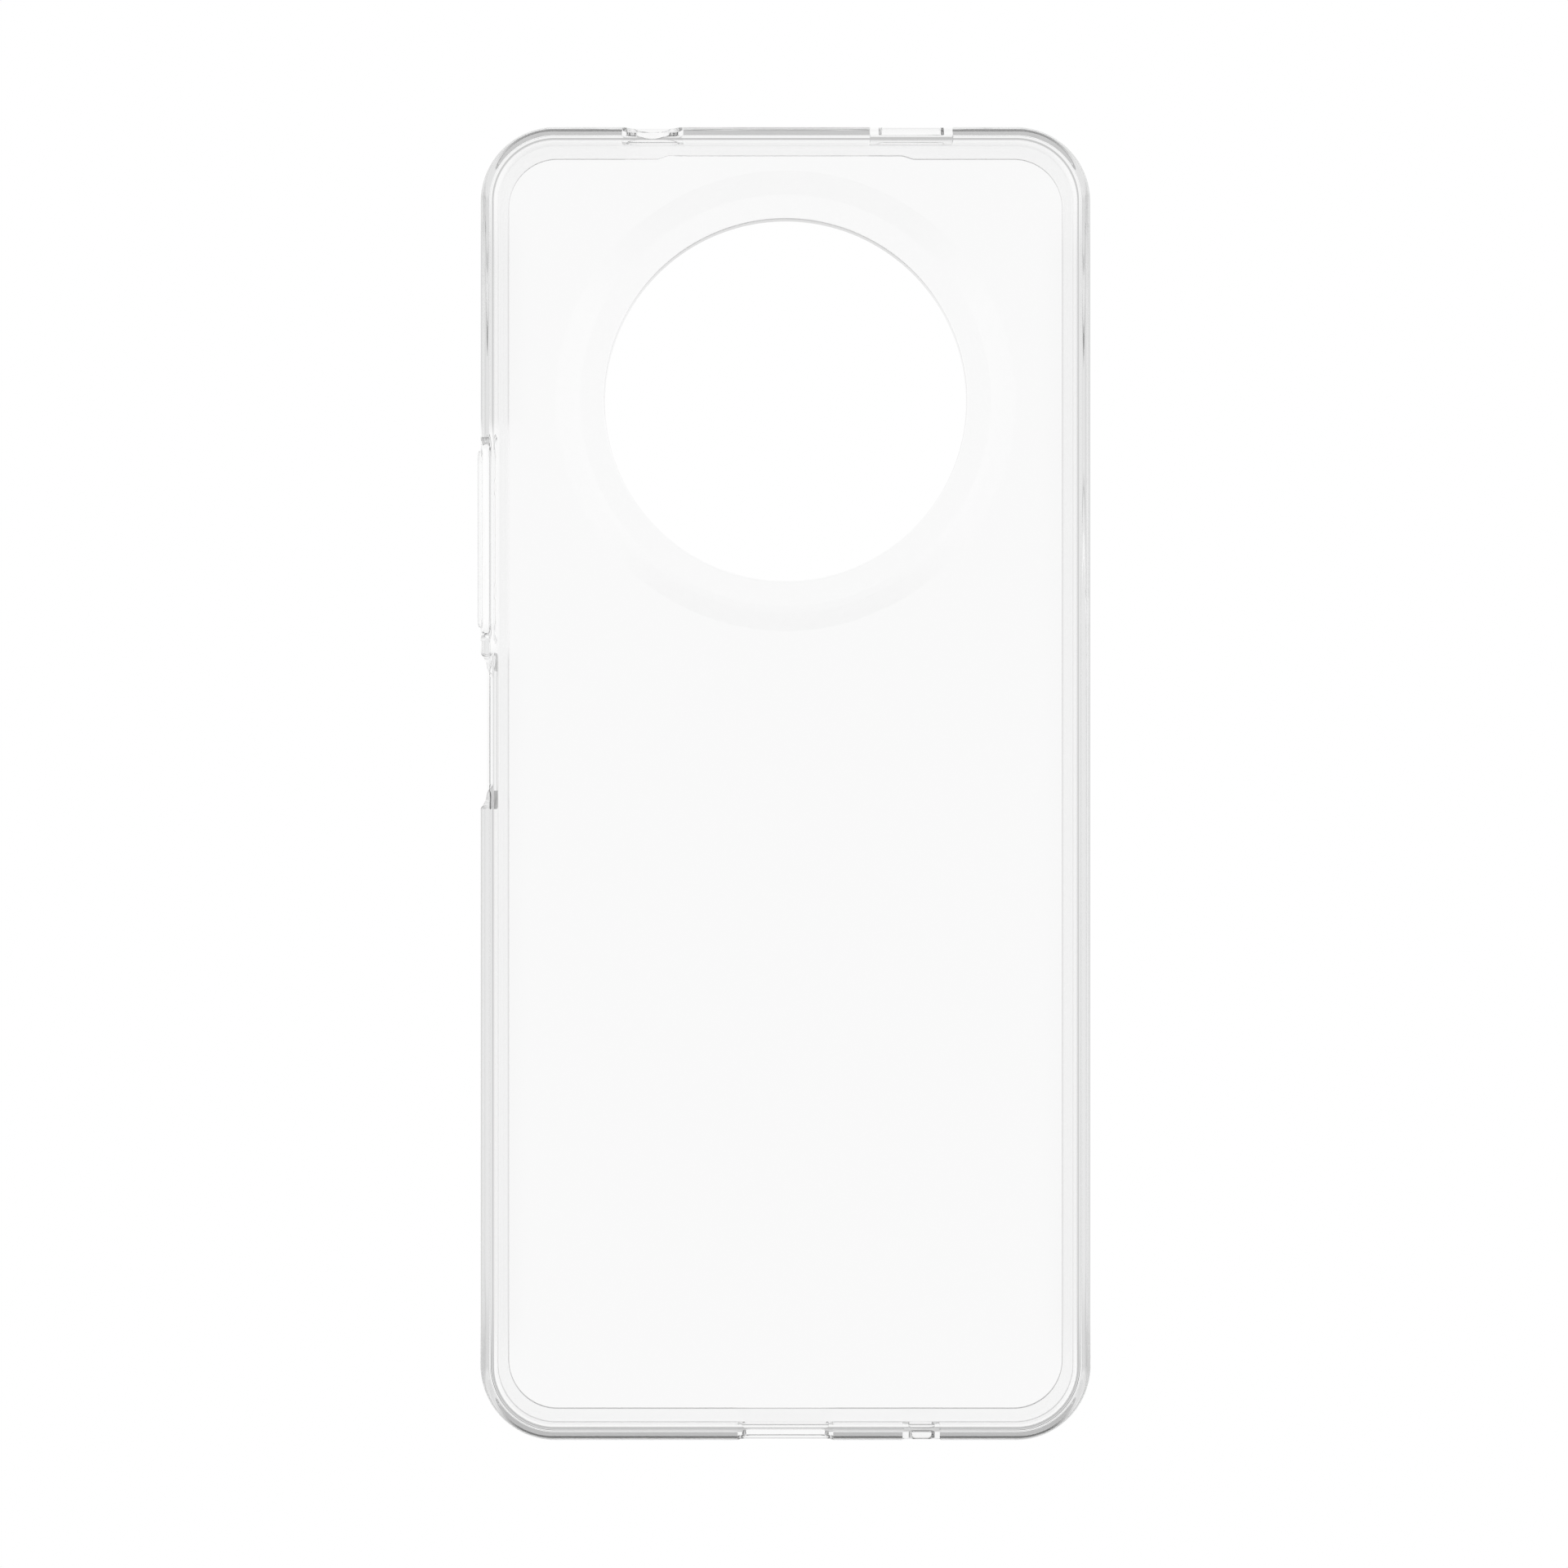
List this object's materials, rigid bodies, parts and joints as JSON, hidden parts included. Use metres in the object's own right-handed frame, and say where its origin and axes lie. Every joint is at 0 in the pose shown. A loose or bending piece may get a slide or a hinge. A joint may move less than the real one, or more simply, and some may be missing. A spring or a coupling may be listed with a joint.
{
  "type": "phone case",
  "caption": "Clear slim phone case with a hard back panel, a soft bumper frame, a raised ring round a large round camera hole, and a flexing volume key cover.",
  "frame": {"origin": "middle of the case's footprint, on the surface it lies on with its screen side down", "axes": "+Z out of the back, +Y to the camera end, -X to the volume and power keys"},
  "size_m": [0.0821, 0.1756, 0.0124],
  "materials": {
    "soft_clear": "clear gloss",
    "hard_clear": "clear gloss",
    "guard_clear": "clear gloss",
    "key_clear": "clear gloss"
  },
  "bodies": {
    "case": {"bumper_frame": "soft_clear", "back_panel": "hard_clear", "camera_guard": "guard_clear"},
    "web": {"key_web": "soft_clear"},
    "key": {"volume_key": "key_clear"}
  },
  "joints": [
    {"name": "volume_press", "type": "slide", "parent": "case", "child": "web", "axis": [1, 0, 0], "range_m": [0, 0.0004], "stiffness_N_per_m": 1000},
    {"name": "volume_rock", "type": "hinge", "parent": "web", "child": "key", "pos_m": [-0.0401, 0.0328, 0.00505], "axis": [0, 0, 1], "range_deg": [-1.2, 1.2], "stiffness_Nm_per_rad": 0.1}
  ]
}
